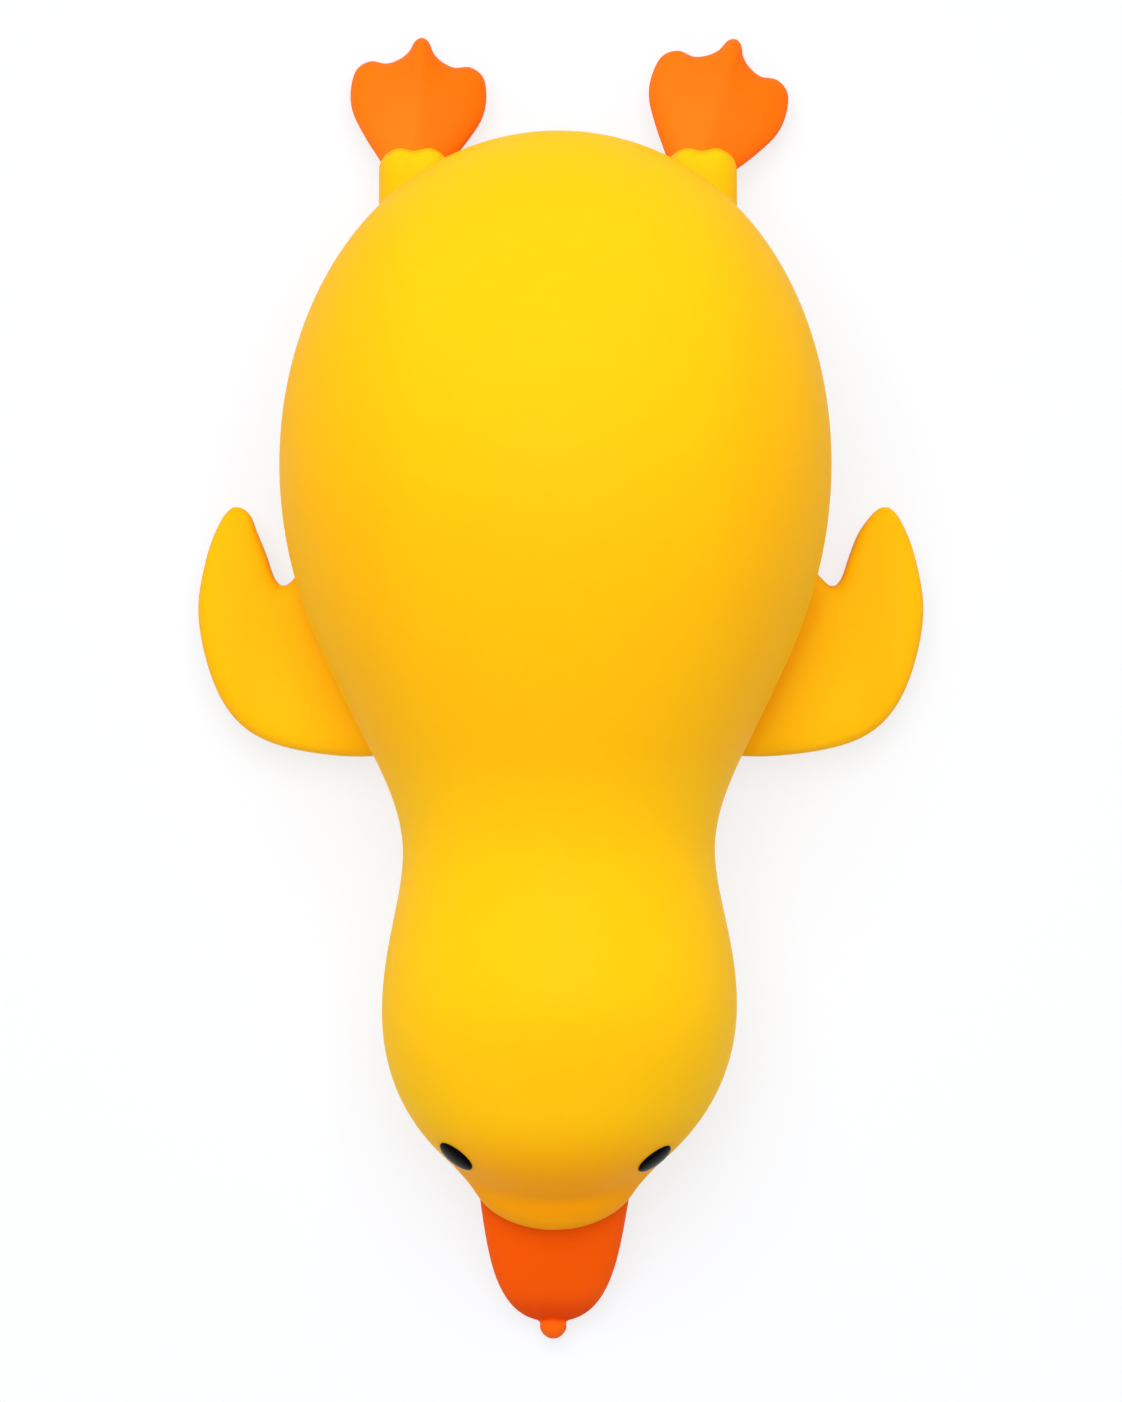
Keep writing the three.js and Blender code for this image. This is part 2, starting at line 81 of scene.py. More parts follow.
def srgb(red: int, green: int, blue: int) -> Colour:
    """A colour given as three numbers up to 255, as linear values.

    The curve between them is a straight line up to its knee, and an offset power above it.

    Args:
        red: Red, from 0 to 255.
        green: Green, from 0 to 255.
        blue: Blue, from 0 to 255.

    Returns:
        The linear red, green and blue, and an alpha of 1.
    """
    share = np.array([red, green, blue]) / 255
    curve = ((share + SRGB_OFFSET) / (1 + SRGB_OFFSET)) ** SRGB_POWER
    linear = np.where(share <= SRGB_KNEE, share / SRGB_SLOPE, curve)
    return (*linear.tolist(), 1.0)


@dataclass(frozen=True)
class Nodes:
    """The nodes of a material or of the world, whose inputs are given by name or number.

    Attributes:
        tree: The tree that they are in.
    """

    tree: NodeTree

    @cached_property
    def place(self) -> NodeSocket:
        """The socket with object coordinates, whose node is added once."""
        return self.add("TexCoord", {})["Object"]

    def set(self, node: Node, inputs: Inputs) -> None:
        """Sets the inputs of a node to values, or links them to sockets.

        Args:
            node: The node.
            inputs: The value or the socket for each input.
        """
        for name, value in inputs.items():
            if isinstance(value, NodeSocket):
                self.tree.links.new(value, node.inputs[name])
            else:
                node.inputs[name].default_value = value

    def add(self, kind: str, inputs: Inputs, **settings: str) -> NodeOutputs:
        """Adds a shader node with its settings and inputs.

        Args:
            kind: Its type, without the word that all of them start with.
            inputs: The value or the socket for each input.
            settings: Its other settings, by name.

        Returns:
            Its outputs, by name.
        """
        made = self.tree.nodes.new(f"ShaderNode{kind}")
        for name, value in settings.items():
            setattr(made, name, value)
        self.set(made, inputs)
        return made.outputs

    def mix(self, share: NodeSocket, first: Colour | NodeSocket, second: Colour) -> NodeSocket:
        """Adds a mix of two colours, by the share of the second."""
        inputs = {"Factor": share, "A": first, "B": second}
        return self.add("Mix", inputs, data_type="RGBA")["Result"]


def new_material(name: str) -> tuple[Material, Nodes, Node]:
    """A new material with its nodes and its shader.

    Args:
        name: Its name.

    Returns:
        The material, its nodes and its shader's node.
    """
    material = bpy.data.materials.new(name)
    material.use_nodes = True
    return material, Nodes(material.node_tree), material.node_tree.nodes["Principled BSDF"]


@dataclass(frozen=True)
class Drift:
    """A steady change of a skin's colour between two places along one direction, used to paint shade
    and highlight.

    Attributes:
        direction: Unit direction in the frame.
        start: Place along it where the change starts, in metres.
        end: Place along it where the change ends, in metres.
        share: Share of the new colour at the end.
        colour: Linear colour that it leads to.
    """

    direction: Triple
    start: float
    end: float
    share: float
    colour: Colour

    def over(self, nodes: Nodes, skin: NodeSocket) -> NodeSocket:
        """Adds the change of the skin's colour: a smooth step of the place along the direction.

        Args:
            nodes: The material's nodes.
            skin: The socket with the colour before the change.

        Returns:
            The socket with the changed colour.
        """
        pair = {0: nodes.place, 1: self.direction}
        along = nodes.add("VectorMath", pair, operation="DOT_PRODUCT")["Value"]
        limits = {"Value": along, "From Min": self.start, "From Max": self.end, "To Max": self.share}
        change = nodes.add("MapRange", limits, interpolation_type="SMOOTHSTEP")["Result"]
        return nodes.mix(change, skin, self.colour)


@dataclass(frozen=True)
class Patches:
    """A faint unevenness in patches: a noise on object coordinates, stretched about its middle.

    Attributes:
        size: Width of a patch, in metres.
        detail: Levels of finer noise in it.
        spread: How far from its middle the noise reaches the limits.
    """

    size: float
    detail: float
    spread: float = 0.5

    def noise(self, nodes: Nodes) -> NodeSocket:
        """Adds the noise itself, on object coordinates."""
        inputs = {"Scale": 1 / self.size, "Detail": self.detail, "Vector": nodes.place}
        return nodes.add("TexNoise", inputs)["Fac"]

    def between(self, nodes: Nodes, low: float, high: float) -> NodeSocket:
        """Adds a value that drifts between two limits.

        Args:
            nodes: The material's nodes.
            low: The lower limit.
            high: The upper limit.

        Returns:
            The socket with the value.
        """
        least, most = 0.5 - self.spread, 0.5 + self.spread
        limits = {"From Min": least, "From Max": most, "To Min": low, "To Max": high}
        return nodes.add("MapRange", {"Value": self.noise(nodes), **limits})["Result"]


@dataclass(frozen=True)
class SoftSkin:
    """The smooth, slightly grained skin of soft foam, a little see-through at thin edges.

    Attributes:
        name: Name of the material.
        base: Linear colour of the skin.
        patch: Linear colour that it drifts to in broad, faint patches.
        drifts: The painted shade and highlight, as changes to other colours, one over the other.
        tint: The patches of colour.
        tint_share: How far the colour drifts, from 0 to 1.
        roughness: Lowest and highest roughness of the skin.
        wear: The patches of roughness.
        grain: The grain of the skin.
        grain_height: Height of the grain, in metres.
        depth: How far light goes into the skin, in metres.
        depth_colours: Shares of that depth that red, green and blue reach.
        depth_share: Share of the light that goes into the skin.
        specular: Strength of the clear reflection.
    """

    name: str
    base: Colour
    patch: Colour
    drifts: tuple[Drift, ...] = ()
    tint: Patches = Patches(0.03, 3, 0.15)
    tint_share: float = 0.35
    roughness: Pair = (0.47, 0.57)
    wear: Patches = Patches(0.01, 4, 0.2)
    grain: Patches = Patches(0.00035, 2)
    grain_height: float = 0.00001
    depth: float = 0.003
    depth_colours: Triple = (1.0, 0.35, 0.06)
    depth_share: float = 0.16
    specular: float = 0.028

    def material(self) -> Material:
        """Makes the material from nodes on object coordinates.

        Returns:
            The new material.
        """
        material, nodes, shader = new_material(self.name)
        tint = self.tint.between(nodes, 0.0, self.tint_share)
        skin = nodes.mix(tint, self.base, self.patch)
        for drift in self.drifts:
            skin = drift.over(nodes, skin)
        height = {"Distance": self.grain_height, "Height": self.grain.noise(nodes)}
        nodes.set(shader, {
            "Base Color": skin,
            "Roughness": self.wear.between(nodes, *self.roughness),
            "Normal": nodes.add("Bump", height)["Normal"],
            "Specular IOR Level": self.specular,
            "Subsurface Weight": self.depth_share,
            "Subsurface Scale": self.depth,
            "Subsurface Radius": self.depth_colours,
        })
        return material


@dataclass(frozen=True)
class GlossyBlack:
    """Glossy black plastic with a faint drift in its gloss.

    Attributes:
        name: Name of the material.
        base: Linear colour.
        roughness: Lowest and highest roughness.
        wear: The patches of gloss.
        specular: Strength of the clear reflection.
    """

    name: str = "black_gloss_plastic"
    base: Colour = srgb(5, 4, 4)
    roughness: Pair = (0.16, 0.24)
    wear: Patches = Patches(0.0012, 2)
    specular: float = 0.015

    def material(self) -> Material:
        """Makes the material from nodes on object coordinates.

        Returns:
            The new material.
        """
        material, nodes, shader = new_material(self.name)
        gloss = self.wear.between(nodes, *self.roughness)
        black = {"Base Color": self.base, "Specular IOR Level": self.specular, "Roughness": gloss}
        nodes.set(shader, black)
        return material


def both_sides(
    out: float, back: float, start: float, end: float, share: float, colour: Colour
) -> tuple[Drift, ...]:
    """The same drift on both sides, whose direction goes outwards and to the feet by two shares."""
    return tuple(Drift((side.value * out, back, 0), start, end, share, colour) for side in Side)


FORWARD = (0, -1, 0)
PLAIN_YELLOW = srgb(255, 194, 14)
# Colour of the painted shade on the yellow skin.
PAINTED_SHADE_YELLOW = srgb(255, 162, 3)
YELLOW = SoftSkin(
    "yellow_soft_skin",
    base=PLAIN_YELLOW,
    patch=srgb(255, 190, 11),
    drifts=(
        # Painted shade on the back where it slopes down towards the shoulders, and the neck is plain
        # again.
        Drift(FORWARD, -0.05, -0.015, 0.2, PAINTED_SHADE_YELLOW),
        Drift(FORWARD, 0.006, 0.014, 0.85, PLAIN_YELLOW),
        # Painted shade on the flanks, plain again on the wings beside them, and painted shade towards
        # the wings' edges.
        *both_sides(1, 0, 0.016, 0.024, 0.2, PAINTED_SHADE_YELLOW),
        *both_sides(0.897, -0.442, 0.0238, 0.0252, 0.85, PLAIN_YELLOW),
        *both_sides(1, 0, 0.032, 0.04, 0.34, PAINTED_SHADE_YELLOW),
        # Painted shade, at its deepest, on the brow and the snout.
        Drift(FORWARD, 0.0505, 0.0615, 1.0, PAINTED_SHADE_YELLOW),
    ),
)
# Colour of the painted shade on the feet.
PAINTED_SHADE_ORANGE = srgb(254, 103, 0)
FOOT_ORANGE = SoftSkin("orange_foot_skin", base=srgb(255, 124, 22), patch=srgb(255, 119, 16))
BEAK_ORANGE = SoftSkin(
    "orange_beak_skin",
    base=srgb(250, 91, 2),
    patch=srgb(246, 86, 1),
    drifts=(
        # Painted shade on the blade where it slopes down to its tip, and a painted highlight that
        # makes the nail lighter.
        Drift(FORWARD, 0.0735, 0.0772, 0.75, srgb(222, 64, 0)),
        Drift(FORWARD, 0.0776, 0.078, 0.9, srgb(250, 104, 12)),
    ),
)
BLACK = GlossyBlack()


# Curves and surfaces.

STRAY = ((-77.9, -0.58), (-58.5, -0.35), (-38.9, 0.18), (-18.8, 0.1), (28.0, -0.3), (67.5, 0.05))
CURVE_STEPS = 64


def spline_through(places: Sequence[float], values: Sequence[float], at: Array) -> Array:
    """A natural cubic spline: cubic pieces that agree in value, slope and bend at each place.

    Args:
        places: Rising places that the spline is given at.
        values: Its value at each place.
        at: The places where it is wanted.

    Returns:
        Its values there, in the shape of `at`.
    """
    p = np.asarray(places, float)
    v = np.asarray(values, float)
    step = np.diff(p)
    slope = np.diff(v) / step
    inner = len(p) - 2
    system = np.diag(2 * (step[:-1] + step[1:]))
    system[np.arange(inner - 1), np.arange(1, inner)] = step[1:-1]
    system[np.arange(1, inner), np.arange(inner - 1)] = step[1:-1]
    bend = np.concatenate([[0], np.linalg.solve(system, 6 * np.diff(slope)), [0]])
    i = np.clip(np.searchsorted(p, at, side="left") - 1, 0, len(step) - 1)
    a = (p[i + 1] - at) / step[i]
    b = 1 - a
    sag = ((a**3 - a) * bend[i] + (b**3 - b) * bend[i + 1]) * step[i] ** 2 / 6
    return a * v[i] + b * v[i + 1] + sag


def stray(y: Array | float) -> Array:
    """How far the middle line of body and beak strays along X: a spline along the form's Y."""
    return spline_through(*zip(*STRAY), y)


def soft_max(a: Array, b: Array, radius: Array) -> Array:
    """The larger of two, raised by up to a quarter of the radius where they are nearer than it."""
    near = np.maximum(radius - np.abs(a - b), 0) / np.maximum(radius, TINY)
    return np.maximum(a, b) + near**2 * radius / 4


def signed_power(value: Array, power: float) -> Array:
    """The value's size raised to a power, with its sign kept."""
    return np.sign(value) * np.abs(value) ** power


def blend(ends: Pair, share: Array) -> Array:
    """The straight way from the first of two values to the second, at shares of it."""
    return ends[0] + (ends[1] - ends[0]) * share


def full_turn(count: int) -> Array:
    """Evenly spaced angles of a full turn, from 0 on."""
    return math.tau * np.arange(count) / count


def half_turn(count: int) -> Array:
    """Evenly spaced angles of a half turn, without both of its ends."""
    return np.pi * np.arange(1, count) / count


def curve_through(points: Array, closed: bool, shares: Array) -> Array:
    """A smooth curve through points, each piece a cubic whose speed follows the points' spacing.

    Each inner tangent is the slope of the parabola through three neighbours, measured along
    the square root of the distance between them.

    Args:
        points: The points, one a row.
        closed: Whether the curve returns to its first point.
        shares: Shares of the curve's length, from 0 to 1, where points are wanted.

    Returns:
        The points on the curve, one a row.
    """
    if closed:
        p = np.vstack([points[-1], points, points[:2]])
    else:
        p = np.vstack([2 * points[0] - points[1], points, 2 * points[-1] - points[-2]])
    gap = np.sqrt(np.linalg.norm(np.diff(p, axis=0), axis=1))[:, None]
    d0, d1, d2 = gap[:-2], gap[1:-1], gap[2:]
    a, b, c, d = p[:-3], p[1:-2], p[2:-1], p[3:]
    start = ((b - a) / d0 - (c - a) / (d0 + d1) + (c - b) / d1) * d1
    end = ((c - b) / d1 - (d - b) / (d1 + d2) + (d - c) / d2) * d1
    t = np.linspace(0, 1, CURVE_STEPS + 1)[:-1, None, None]
    fine = (
        (2 * t**3 - 3 * t**2 + 1) * b
        + (t**3 - 2 * t**2 + t) * start
        + (3 * t**2 - 2 * t**3) * c
        + (t**3 - t**2) * end
    )
    fine = np.vstack([np.swapaxes(fine, 0, 1).reshape(-1, p.shape[1]), c[-1]])
    run = np.concatenate([[0], np.cumsum(np.linalg.norm(np.diff(fine, axis=0), axis=1))])
    return np.stack([np.interp(shares * run[-1], run, axis) for axis in fine.T], axis=-1)


@dataclass
class Surface:
    """A closed surface: a grid of rings between two end points, in the form's millimetres.

    Attributes:
        rings: Array of ring, point on the ring, and coordinate.
        first: The end point before the first ring.
        last: The end point after the last ring.
    """

    rings: Array
    first: Array
    last: Array

    def arrays(self, shift: Array) -> tuple[Array, Array, Array]:
        """Points in metres, four-cornered faces and the triangles at both ends.

        Args:
            shift: The form's origin in the frame, in millimetres.

        Returns:
            The points, the corners of the four-cornered faces, and those of the triangles.
        """
        rows, sides = self.rings.shape[:2]
        points = (np.vstack([self.rings.reshape(-1, 3), self.first, self.last]) + shift) * MM
        row = np.arange(rows - 1)[:, None] * sides
        here = np.arange(sides)[None, :]
        after = (here + 1) % sides
        quads = np.stack([row + here, row + after, row + sides + after, row + sides + here], -1)
        start = np.full(sides, rows * sides)
        caps = [
            np.stack([start, after[0], here[0]], -1),
            np.stack([start + 1, (rows - 1) * sides + here[0], (rows - 1) * sides + after[0]], -1),
        ]
        return points, quads.reshape(-1, 4), np.vstack(caps)


def signed_volume(points: Array, quads: Array, triangles: Array) -> float:
    """The volume inside the faces, below zero where they face inwards."""
    a, b, c = points[np.vstack([quads[:, :3], quads[:, [0, 2, 3]], triangles])].swapaxes(0, 1)
    return float(np.einsum("ij,ij->", a, np.cross(b, c))) / 6


def mesh_piece(name: str, surfaces: list[Surface], shift: Array, material: Material) -> Object:
    """One object made of closed surfaces, each with its faces outward and smooth.

    Args:
        name: Name of the object and of its mesh.
        surfaces: The surfaces that it is made of.
        shift: The form's origin in the frame, in millimetres.
        material: Its material.

    Returns:
        The new object, unmoved, in the scene.
    """
    points, fours, threes = [], [], []
    offset = 0
    for surface in surfaces:
        some, quads, triangles = surface.arrays(shift)
        if signed_volume(some, quads, triangles) < 0:
            quads, triangles = quads[:, ::-1], triangles[:, ::-1]
        points.append(some)
        fours.append(quads + offset)
        threes.append(triangles + offset)
        offset += len(some)
    mesh = bpy.data.meshes.new(name)
    faces = [*np.vstack(fours).tolist(), *np.vstack(threes).tolist()]
    mesh.from_pydata(np.vstack(points).tolist(), [], faces)
    mesh.shade_smooth()
    mesh.materials.append(material)
    made = bpy.data.objects.new(name, mesh)
    bpy.context.scene.collection.objects.link(made)
    return made


def fuse(piece: Object, grid: float, rounds: int) -> None:
    """Makes one skin of the piece's surfaces, with small fillets where they meet.

    Args:
        piece: The object, made of closed surfaces that overlap.
        grid: Size of the grid that the skin is drawn on, in metres.
        rounds: Rounds of smoothing; more of them make wider fillets.
    """
    remesh = piece.modifiers.new("one_skin", "REMESH")
    remesh.mode = "VOXEL"
    remesh.voxel_size = grid
    remesh.use_smooth_shade = True
    smooth = piece.modifiers.new("fillets", "SMOOTH")
    smooth.factor = 0.5
    smooth.iterations = rounds
    held = bpy.context.evaluated_depsgraph_get()
    made = bpy.data.meshes.new_from_object(piece.evaluated_get(held))
    made.name = piece.data.name
    piece.modifiers.clear()
    piece.data = made
    made.shade_smooth()


# The duck's parts.


@dataclass
class MainForm:
    """The main form from rump to snout, in millimetres.

    Each size is a spline over the round end function sqrt(1 - y^2), so it holds at its station
    and both ends close in a full round.

    Attributes:
        rump_y: Place of the rump's end.
        face_y: Place of the face's end.
        places: Places of the stations between them.
        half_widths: Half width at each station.
        heights: Height of the back at each station.
        waist_places: Places of the widest line's heights.
        waists: Heights of the widest line.
        plan_radii: End radii in plan, at the face and at the rump.
        side_radii: End radii seen from the side, at the face and at the rump.
        chin_radius: End radius of the chin seen from the side.
        sag: How far the belly would sag below the floor, which presses it flat.
        edge: Rounding of the belly's edge.
        powers: Powers of the sections above and below the widest line; 2 is a true ellipse.
        snout_y: Middle of the snout's ring.
        snout_length: Half length of the snout's ring.
        snout_sizes: Half width, rise and drop of the snout's ring.
        crease: Rounding where the ring leaves the face.
    """

    rump_y: float = 67.5
    face_y: float = -62.5
    places: tuple[float, ...] = (-50.5, -38.9, -28.5, -18.8, -6.5, 8.0, 28.0, 48.0)
    half_widths: tuple[float, ...] = (18.75, 21.6, 20.3, 19.0, 23.2, 29.9, 33.35, 28.8)
    heights: tuple[float, ...] = (34.6, 39.7, 38.2, 38.0, 44.4, 52.2, 56.0, 48.5)
    waist_places: tuple[float, ...] = (-62.5, -38.9, -18.8, 28.0, 67.5)
    waists: tuple[float, ...] = (14.5, 16.5, 17.0, 24.0, 22.0)
    plan_radii: Pair = (18.5, 29.8)
    side_radii: Pair = (24.0, 20.0)
    chin_radius: float = 11.5
    sag: float = 4.0
    edge: float = 1.6
    powers: Pair = (2.1, 2.5)
    snout_y: float = -58.5
    snout_length: float = 7.5
    snout_sizes: Triple = (10.5, 6.3, 9.0)
    crease: float = 3.2

    def end_round(self, y: Array) -> Array:
        """The round end function: 1 in the middle, and 0 at both ends."""
        half = (self.rump_y - self.face_y) / 2
        return np.sqrt(np.maximum(0, 1 - ((y - self.face_y - half) / half) ** 2))

    def waist(self, y: Array) -> Array:
        """Height of the widest line at a place along Y."""
        return spline_through(self.waist_places, self.waists, y)

    def section(self, angle: Array, half_width: Array, rise: Array, drop: Array) -> Array:
        """Distance from the centre to a rounded section: a superellipse above and one below.

        Args:
            angle: Angle from the +X side.
            half_width: Half width of the section.
            rise: Its height above the centre.
            drop: Its depth below the centre.

        Returns:
            The distance at each angle.
        """
        up = np.sin(angle) >= 0
        power = np.where(up, *self.powers)
        across = np.abs(np.cos(angle)) / half_width
        along = np.abs(np.sin(angle)) / np.where(up, rise, drop)
        return (across**power + along**power) ** (-1 / power)

    def point(self, y: Array, angle: Array) -> Array:
        """Points of the skin: the rounded larger of the head's section and the snout's.

        Args:
            y: Places along the form's Y.
            angle: Angles round the section, from the +X side.

        Returns:
            The points, with the coordinates last.
        """
        half = (self.rump_y - self.face_y) / 2
        station_round = self.end_round(np.array(self.places))
        station_waist = self.waist(np.array(self.places))
        every = [self.face_y, *self.places, self.rump_y]
        plan = np.sqrt(np.array(self.plan_radii) * half)
        side = np.sqrt(np.array(self.side_radii) * half)
        widths = np.array(self.half_widths) / station_round
        width = spline_through(every, [plan[0], *widths, plan[1]], y)
        tops = (np.array(self.heights) - station_waist) / station_round
        rise = spline_through(every, [side[0], *tops, side[1]], y)
        inner = np.array(self.waist_places[1:-1])
        depths = (np.array(self.waists[1:-1]) + self.sag) / self.end_round(inner)
        chin = math.sqrt(self.chin_radius * half)
        drop = spline_through(self.waist_places, [chin, *depths, side[1]], y)
        radius = self.end_round(y) * self.section(angle, width, rise, drop)
        ring = np.sqrt(np.maximum(0, 1 - ((y - self.snout_y) / self.snout_length) ** 2))
        snout = ring * self.section(angle, *self.snout_sizes)
        full = soft_max(radius, snout, np.minimum(self.crease, np.minimum(radius, snout)))
        z = self.waist(np.maximum(y, self.face_y)) + full * np.sin(angle)
        z = soft_max(z, np.zeros_like(z), np.full_like(z, self.edge))
        return np.stack([stray(y) + full * np.cos(angle), y, z], axis=-1)

    def surface(self, rings: int = 420, sides: int = 320) -> Surface:
        """The form as rings that crowd together towards both ends.

        Args:
            rings: Number of rings.
            sides: Number of points on each ring.

        Returns:
            The closed surface.
        """
        low, high = self.snout_y - self.snout_length, self.rump_y
        y = (low + high) / 2 - (high - low) / 2 * np.cos(half_turn(rings))
        grid = self.point(*np.broadcast_arrays(y[:, None], full_turn(sides)[None, :]))
        ends = self.point(np.array([low, high]), np.zeros(2))
        return Surface(grid, ends[0], ends[1])

    def seat(self, y: float, angle: float) -> tuple[Array, Array, Array]:
        """A point of the skin with the directions along the body and out of the skin there.

        Args:
            y: Place along the form's Y.
            angle: Angle round the section.

        Returns:
            The point, the unit direction along Y in the skin, and the unit direction outward.
        """
        step, turn = 0.5, 0.02
        ys = np.array([y, y - step, y + step, y, y])
        angles = np.array([angle, angle, angle, angle - turn, angle + turn])
        p = self.point(ys, angles)
        along = (p[2] - p[1]) / np.linalg.norm(p[2] - p[1])
        out = np.cross(along, p[4] - p[3])
        return p[0], along, out / np.linalg.norm(out)


@dataclass
class Wing:
    """A plump wing: sections that each span from its inner edge to its outer edge.

    Attributes:
        side: Which side it is on.
        reach: How far it reaches from the middle.
        front_y: Place of its front edge.
        tip_y: Place of its tip.
        notch: Place of the notch between the wing and the body.
        thickness: Thickness at the root and at the tip.
        height: Height of its middle at the root and at the tip.
        web_share: Share of the sections that lie between the body and the notch.
        web_run: From the notch to the web's end inside the body.
        tip_fade: How much flatter the last section is, as a share of its squared thickness.
        fullness: Power of the round sections; 1 is a true ellipse, and less is fuller.
    """

    side: Side
    reach: float
    front_y: float = -8.3
    tip_y: float = 22.6
    notch: Pair = (33.8, 12.05)
    thickness: Pair = (8.6, 4.6)
    height: Pair = (5.4, 4.2)
    web_share: float = 0.4
    web_run: Pair = (-12, 12.5)
    tip_fade: float = 0.8
    fullness: float = 0.4

    def outer_edge(self, t: Array) -> Array:
        """The outer edge: a smooth curve from inside the body round to the tip.

        Args:
            t: Shares of its length, from 0 to 1.

        Returns:
            The points in plan.
        """
        front = np.array([(-8.6, 1.8), (-4.7, 4.4), (-1.9, 9), (0, 17.7)])
        tip = np.array([(-1.2, -5.8), (-2.3, -2.9), (-3.3, -1.1), (-4.3, -0.2)])
        points = np.vstack([
            [(14, self.front_y + 0.6), (26.5, self.front_y)],
            front + (self.reach, self.front_y),
            tip + (self.reach, self.tip_y),
        ])
        return curve_through(points, False, t)

    def inner_edge(self, t: Array) -> Array:
        """The inner edge: a straight web to the notch, then a smooth curve to the tip.

        Args:
            t: Shares of the sections, from 0 to 1.

        Returns:
            The points in plan.
        """
        notch = np.array(self.notch)
        start = notch + self.web_run
        bottom = np.array([(0, 0), (1, 1.4), (2, 4.3), (3.2, 7.2)])
        tip = np.array([(-6.4, -1.3), (-5.5, -0.4)])
        points = np.vstack([bottom + notch, tip + (self.reach, self.tip_y)])
        web = np.clip(t / self.web_share, 0, 1)[:, None]
        beyond = np.clip((t - self.web_share) / (1 - self.web_share), 0, 1)
        curve = curve_through(points, False, beyond)
        return np.where(web < 1, start + (notch - start) * web, curve)

    def surface(self, sections: int = 160, sides: int = 120) -> Surface:
        """The wing's skin: a flattened round from edge to edge at each section.

        The thickness falls with the square of the section's share of the way, and by the fade
        times its eighth power at the very tip.

        Args:
            sections: Number of sections.
            sides: Number of points round each.

        Returns:
            The closed surface.
        """
        t = np.linspace(0, 1, sections)
        inner = self.inner_edge(t)[:, None, :]
        outer = self.outer_edge(t)[:, None, :]
        thick = blend(self.thickness, t**2)
        height = blend(self.height, t)
        fade = np.sqrt(1 - self.tip_fade * t**8)
        angle = full_turn(sides)
        across = ((1 - signed_power(np.cos(angle), self.fullness)) / 2)[None, :, None]
        plan = outer + (inner - outer) * across
        up = signed_power(np.sin(angle), self.fullness)[None, :]
        z = height[:, None] + (thick * fade / 2)[:, None] * up
        rings = np.stack([self.side.value * plan[..., 0], plan[..., 1], z], axis=-1)
        return Surface(rings, rings[0].mean(axis=0), rings[-1].mean(axis=0))


@dataclass
class Leg:
    """A short leg stub that ends in a cuff of two lobes.

    Attributes:
        side: Which side it is on.
        spacing: Distance between the two legs' middles.
        half_width: Half width.
        half_height: Half height.
        height: Height of its middle.
        root_y: Where it starts inside the body.
        cuff_y: Where the cuff ends.
        rounding: Rounding of the cuff's rim.
        lobe: How far the two lobes stand out.
        valley: Depth and width of the valley between the lobes.
        dome: Height of the dome that closes the cuff.
        dome_rings: Heights of the dome's first and last ring, and their number.
        fullness: Power of the round sections; 1 is a true ellipse, and less is fuller.
    """

    side: Side
    spacing: float = 35.2
    half_width: float = 4.35
    half_height: float = 6.0
    height: float = 7.0
    root_y: float = 46.0
    cuff_y: float = 65.3
    rounding: float = 1.5
    lobe: float = 0.55
    valley: Pair = (0.9, 0.22)
    dome: float = 0.42
    dome_rings: tuple[float, float, int] = (0.1, 0.4, 4)
    fullness: float = 0.65

    def surface(self, sides: int = 96, rim_rings: int = 9, stub_rings: int = 24) -> Surface:
        """The leg's skin: a straight stub, a quarter round at its rim, and a shallow dome.

        Towards the cuff the valley deepens with the sixth power of the way, and the lobes with
        the eighth.

        Args:
            sides: Number of points round each ring.
            rim_rings: Number of rings in the quarter round.
            stub_rings: Number of rings on the stub.

        Returns:
            The closed surface.
        """
        turn = np.linspace(0, np.pi / 2, rim_rings)
        rim_y = self.cuff_y - self.rounding
        straight = np.linspace(self.root_y, rim_y, stub_rings, endpoint=False)
        dome = np.linspace(*self.dome_rings)
        rim = self.cuff_y - self.rounding * (1 - np.sin(turn))
        y = np.concatenate([straight, rim, self.cuff_y + dome])
        drawn_in = self.rounding * (1 - np.cos(turn))
        inset = np.concatenate([0 * straight, drawn_in, self.rounding + 0 * dome])
        scale = np.concatenate([1 + 0 * straight, 1 + 0 * turn, np.sqrt(1 - (dome / self.dome) ** 2)])
        along = (y - self.root_y) / (self.cuff_y - self.root_y)
        angle = full_turn(sides)
        c = signed_power(np.cos(angle), self.fullness)[None, :]
        s = signed_power(np.sin(angle), self.fullness)[None, :]
        valley = self.valley[0] * np.exp(-((c / self.valley[1]) ** 2)) * along[:, None] ** 6
        x = (self.half_width - inset[:, None]) * scale[:, None] * c
        z = (self.half_height - inset[:, None] - valley) * scale[:, None] * s
        lobe = self.lobe * np.sin(np.pi * np.abs(x) / self.half_width) * along[:, None] ** 8
        middle = self.side.value * self.spacing / 2
        rings = np.stack([middle + x, y[:, None] + lobe, self.height + z], axis=-1)
        first = np.array([middle, self.root_y, self.height])
        last = np.array([middle, self.cuff_y + self.dome, self.height])
        return Surface(rings, first, last)


